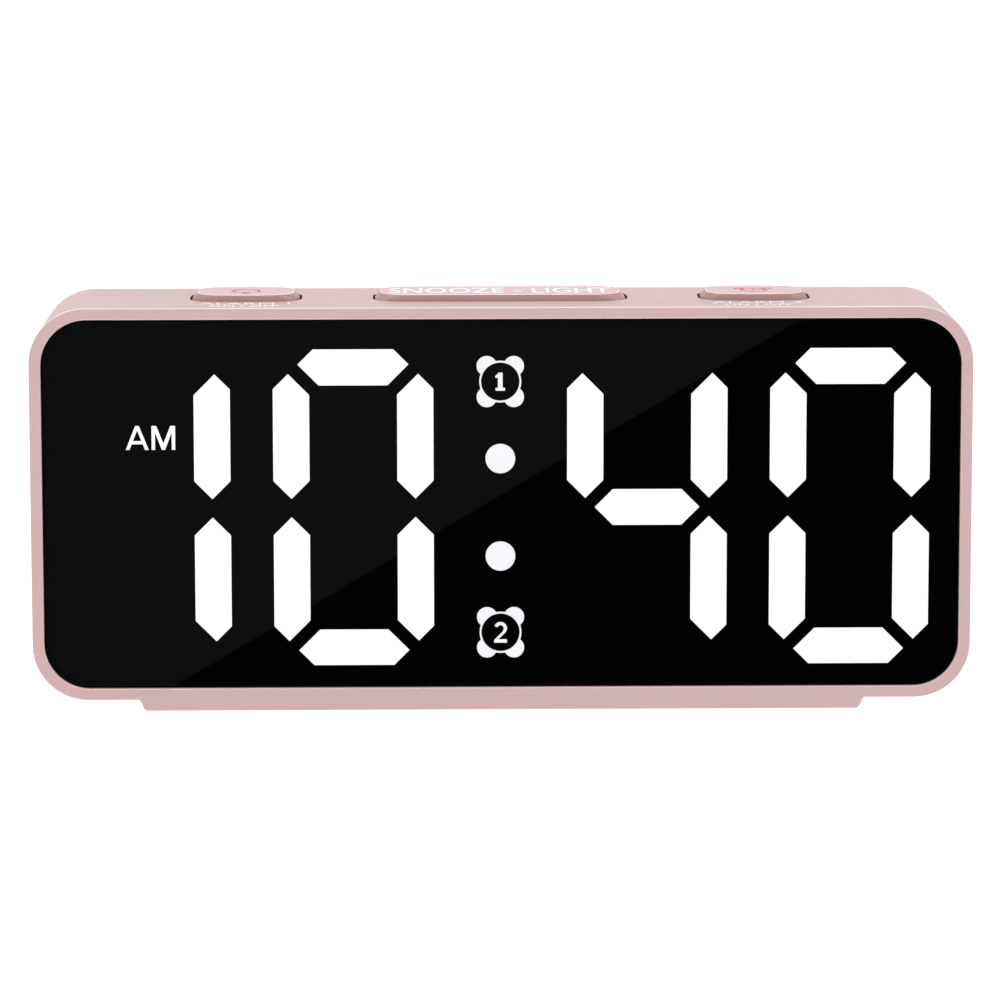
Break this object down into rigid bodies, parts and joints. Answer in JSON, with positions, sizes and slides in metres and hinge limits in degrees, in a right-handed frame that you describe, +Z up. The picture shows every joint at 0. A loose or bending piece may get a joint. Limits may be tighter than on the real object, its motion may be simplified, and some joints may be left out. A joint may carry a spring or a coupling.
{
  "type": "alarm clock",
  "caption": "Desk alarm clock: slim rounded case, smoked full-face window over a segment display, snooze bar and alarm keys on top, setting keys, dimmer, battery door and sockets behind.",
  "frame": {"origin": "on the surface the clock stands on, under the middle of its footprint", "axes": "+Z up, the display faces -Y, +X to the right as seen from the front"},
  "size_m": [0.16, 0.0326, 0.0706],
  "materials": {
    "case_plastic": "satin moulded, dusty rose",
    "key_plastic": "satin moulded, a little lighter than the case",
    "smoked_acrylic": "polished dark tint",
    "display_black": "matt black",
    "lit_resin": "milky, lit from behind",
    "white_plastic": "matt white",
    "circuit_board": "green solder mask",
    "led_resin": "clear resin over phosphor",
    "chip_black": "matt black",
    "plated_steel": "bright plated",
    "screw_steel": "zinc plated",
    "contact_brass": "plain strip",
    "pad_rubber": "matt grey",
    "black_foam": "foam",
    "capacitor_sleeve": "printed sleeve, no marks",
    "cable_film": "flat cable film"
  },
  "bodies": {
    "case": {"front_housing": "case_plastic", "rear_cover": "case_plastic", "foot_pads": "pad_rubber", "case_screws": "screw_steel", "front_lens": "smoked_acrylic", "lens_tape": "black_foam", "display_face": "display_black", "segment_inserts": "lit_resin", "light_reflector": "white_plastic", "display_board": "circuit_board", "segment_leds": "led_resin", "led_driver": "chip_black", "display_screws": "screw_steel", "key_board": "circuit_board", "top_switches": "chip_black", "control_board": "circuit_board", "controller_chip": "chip_black", "clock_crystal": "plated_steel", "rear_switches": "chip_black", "dimmer_switch": "plated_steel", "buzzer": "chip_black", "buzzer_gasket": "black_foam", "coin_cell": "plated_steel", "cell_plus_contact": "contact_brass", "cell_minus_contact": "contact_brass", "power_board": "circuit_board", "usb_c_shell": "plated_steel", "usb_c_tongue": "chip_black", "usb_a_shell": "plated_steel", "usb_a_tongue": "white_plastic", "filter_capacitors": "capacitor_sleeve", "board_screws": "screw_steel", "cable_connectors": "white_plastic", "ribbon_cables": "cable_film"},
    "snooze_button": {"snooze_bar": "key_plastic", "snooze_plunger": "chip_black"},
    "left_alarm_button": {"left_alarm_key": "key_plastic", "left_alarm_plunger": "chip_black"},
    "right_alarm_button": {"right_alarm_key": "key_plastic", "right_alarm_plunger": "chip_black"},
    "set_button": {"set_key": "key_plastic", "set_plunger": "chip_black"},
    "up_button": {"up_key": "key_plastic", "up_plunger": "chip_black"},
    "down_button": {"down_key": "key_plastic", "down_plunger": "chip_black"},
    "dimmer_slider": {"dimmer_knob": "key_plastic"},
    "battery_cap": {"battery_door": "case_plastic"}
  },
  "joints": [
    {"name": "snooze_press", "type": "slide", "parent": "case", "child": "snooze_button", "axis": [0, 0, -1], "range_m": [0, 0.0006], "stiffness_N_per_m": 800},
    {"name": "left_alarm_press", "type": "slide", "parent": "case", "child": "left_alarm_button", "axis": [0, 0, -1], "range_m": [0, 0.0006], "stiffness_N_per_m": 800},
    {"name": "right_alarm_press", "type": "slide", "parent": "case", "child": "right_alarm_button", "axis": [0, 0, -1], "range_m": [0, 0.0006], "stiffness_N_per_m": 800},
    {"name": "set_press", "type": "slide", "parent": "case", "child": "set_button", "axis": [0, -1, 0], "range_m": [0, 0.0005], "stiffness_N_per_m": 800},
    {"name": "up_press", "type": "slide", "parent": "case", "child": "up_button", "axis": [0, -1, 0], "range_m": [0, 0.0005], "stiffness_N_per_m": 800},
    {"name": "down_press", "type": "slide", "parent": "case", "child": "down_button", "axis": [0, -1, 0], "range_m": [0, 0.0005], "stiffness_N_per_m": 800},
    {"name": "dimmer_slide", "type": "slide", "parent": "case", "child": "dimmer_slider", "axis": [1, 0, 0], "range_m": [0, 0.004]},
    {"name": "battery_door_turn", "type": "hinge", "parent": "case", "child": "battery_cap", "pos_m": [0.052, 0.0143, 0.036], "axis": [0, 1, 0], "range_deg": [0, 40]}
  ]
}
